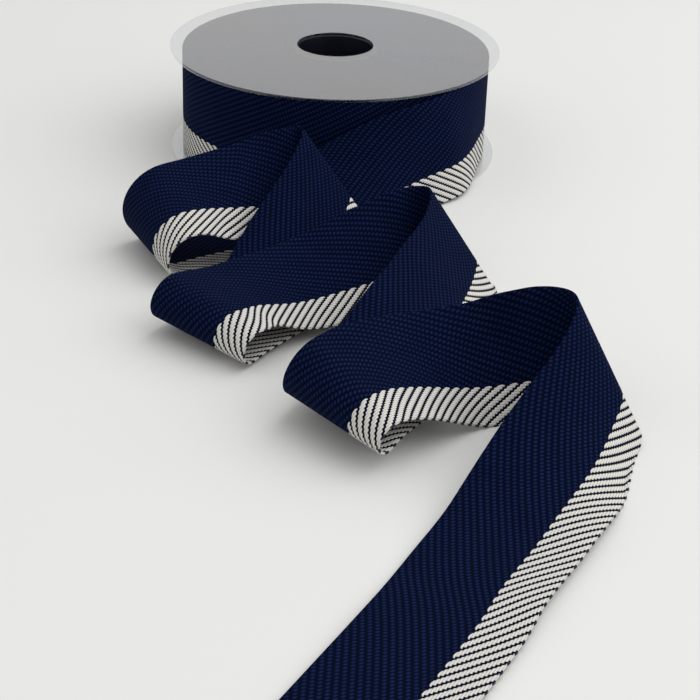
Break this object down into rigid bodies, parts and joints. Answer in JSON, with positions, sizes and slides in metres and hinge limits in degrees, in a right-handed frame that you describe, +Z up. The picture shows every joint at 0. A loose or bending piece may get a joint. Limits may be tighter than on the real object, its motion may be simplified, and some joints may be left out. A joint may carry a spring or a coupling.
{
  "type": "reel of canvas tape",
  "caption": "Clear plastic reel of navy canvas tape with a white striped border, lying flat with its loose end run out in folds.",
  "frame": {"origin": "middle of the base of the whole object's box, on the surface that it lies on", "axes": "+Z up along the reel's axis, +Y from the loose end's cut end towards the reel, +X to the right seen from the cut end"},
  "size_m": [0.1678, 0.4454, 0.0428],
  "materials": {
    "clear_plastic": "clear, glossy",
    "hub_plastic": "smooth",
    "canvas": "woven twill, navy with a white diagonally striped border"
  },
  "bodies": {
    "root": {"flange_lower": "clear_plastic", "flange_upper": "clear_plastic", "hub": "hub_plastic", "tape_roll": "canvas", "tape_loose": "canvas"}
  },
  "joints": []
}
